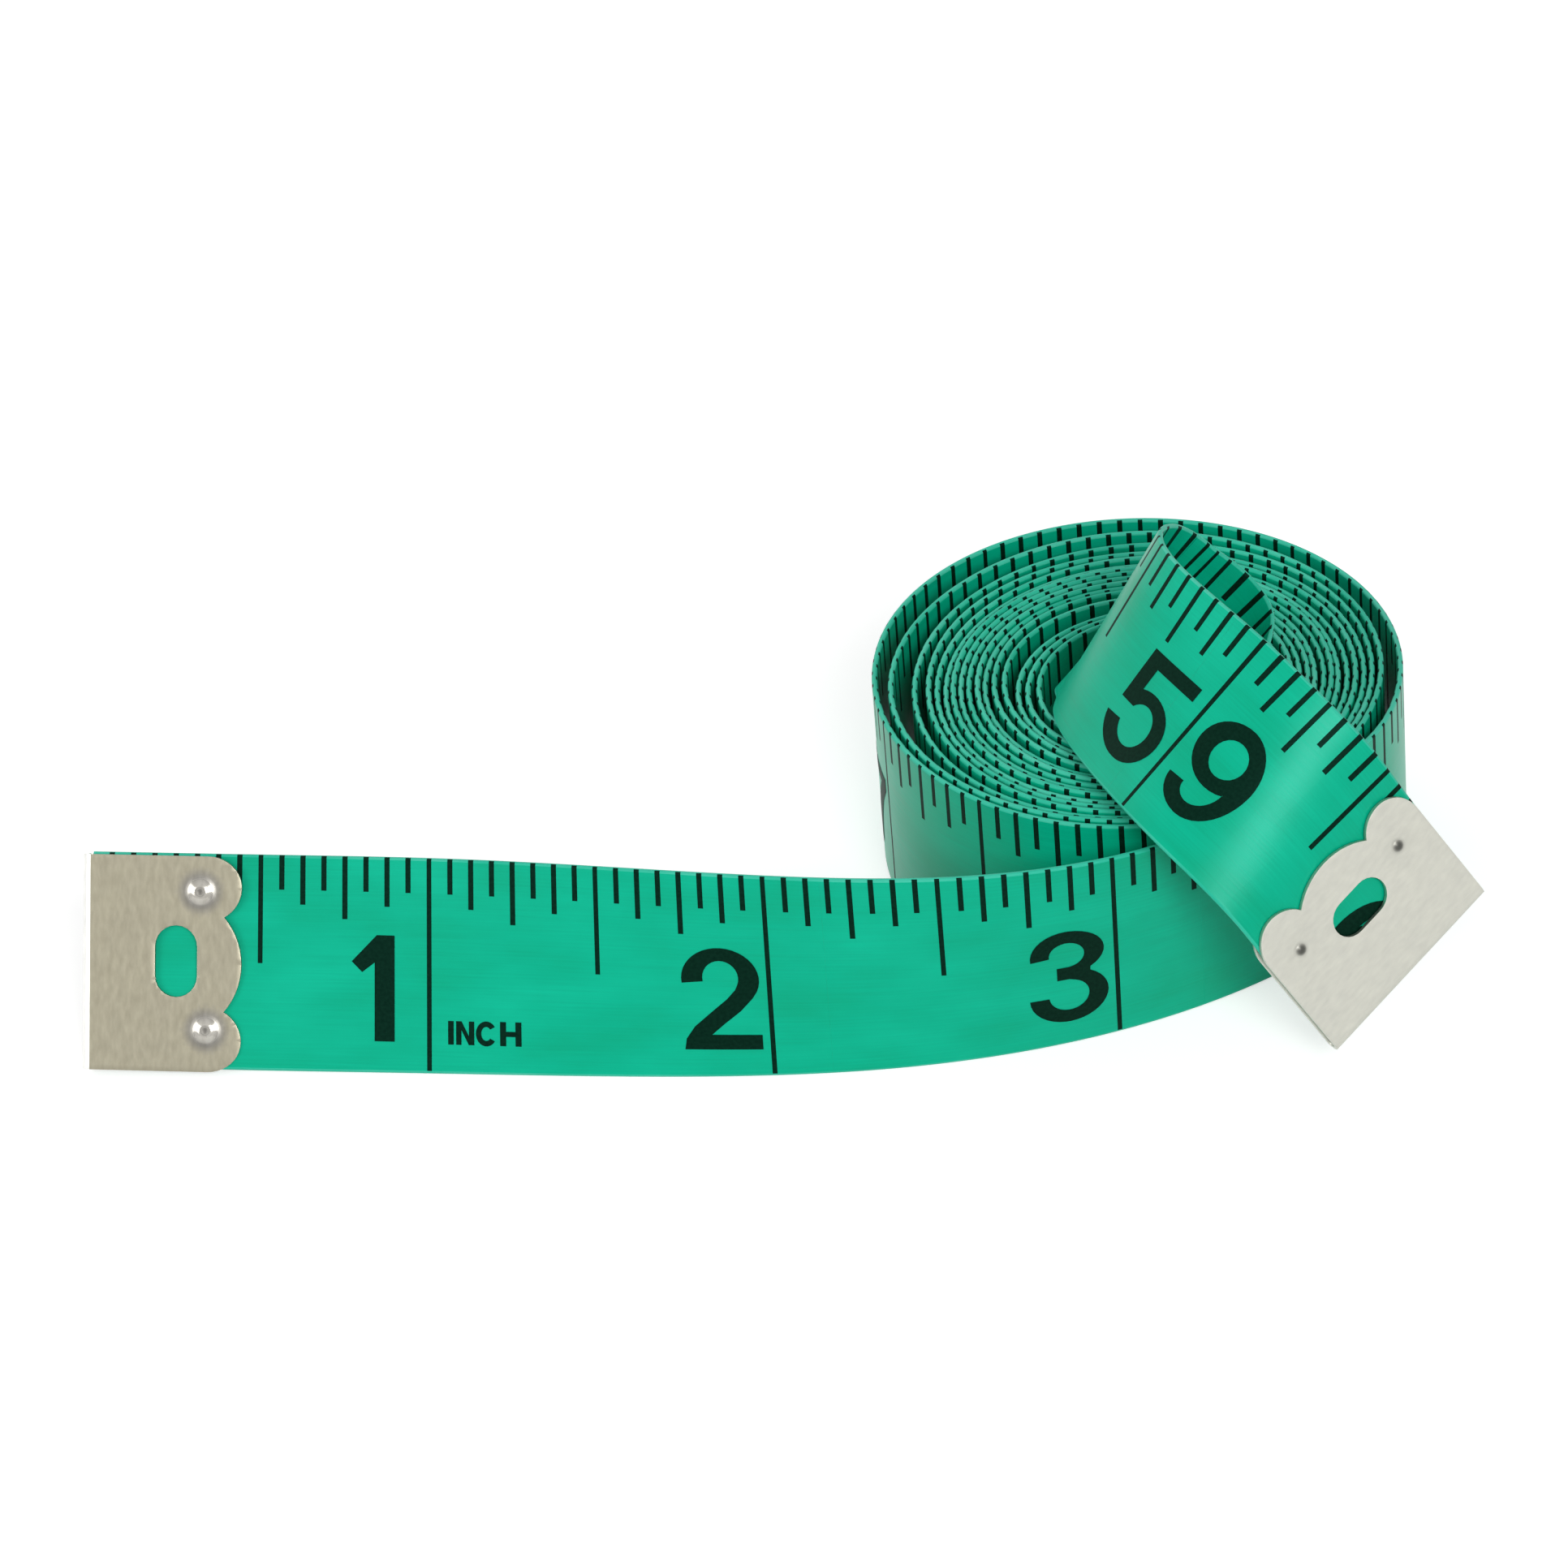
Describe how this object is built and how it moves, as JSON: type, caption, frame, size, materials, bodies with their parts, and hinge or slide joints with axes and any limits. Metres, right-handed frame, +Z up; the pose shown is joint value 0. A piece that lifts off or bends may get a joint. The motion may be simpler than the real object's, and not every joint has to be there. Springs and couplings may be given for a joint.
{
  "type": "cloth tape measure",
  "caption": "Soft tape measure wound into a loose coil that stands on its edge, with both ends out and a folded sheet-metal clip staked on each end.",
  "frame": {"origin": "middle of the whole part's footprint, on the surface that it stands on", "axes": "+Z up, along the coil's axis; +X from the start of the scale towards the coil; the lead passes on the -Y side of the coil"},
  "size_m": [0.1028, 0.0508, 0.0307],
  "materials": {
    "tape": "satin PVC-coated glass-fibre cloth, mint green, printed in black on both faces",
    "start_clip_metal": "warm satin plated sheet metal, brushed along the tape's width",
    "end_clip_metal": "pale satin plated sheet metal, brushed along the tape's width"
  },
  "bodies": {
    "coil": {"tape_coil": "tape"},
    "lead": {"tape_lead": "tape"},
    "lead_end": {"tape_lead_end": "tape", "start_clip": "start_clip_metal"},
    "tail": {"tape_tail": "tape"},
    "tail_end": {"tape_tail_end": "tape", "end_clip": "end_clip_metal"}
  },
  "joints": [
    {"name": "lead_swing", "type": "hinge", "parent": "coil", "child": "lead", "pos_m": [0.01876, -0.01893, 0.00794], "axis": [-0.0039, 0.0259, 0.9997], "range_deg": [-20, 40]},
    {"name": "lead_curl", "type": "hinge", "parent": "lead", "child": "lead_end", "pos_m": [-0.01238, -0.0152, 0.00743], "axis": [0.0554, 0.3705, 0.9272], "range_deg": [0, 35]},
    {"name": "tail_lift", "type": "hinge", "parent": "coil", "child": "tail", "pos_m": [0.02774, -0.00618, 0.02402], "axis": [-0.5989, -0.1994, -0.7756], "range_deg": [0, 50]},
    {"name": "tail_fold", "type": "hinge", "parent": "tail", "child": "tail_end", "pos_m": [0.0349, -0.01775, 0.02109], "axis": [-0.7568, -0.4127, -0.5068], "range_deg": [0, 50]}
  ]
}
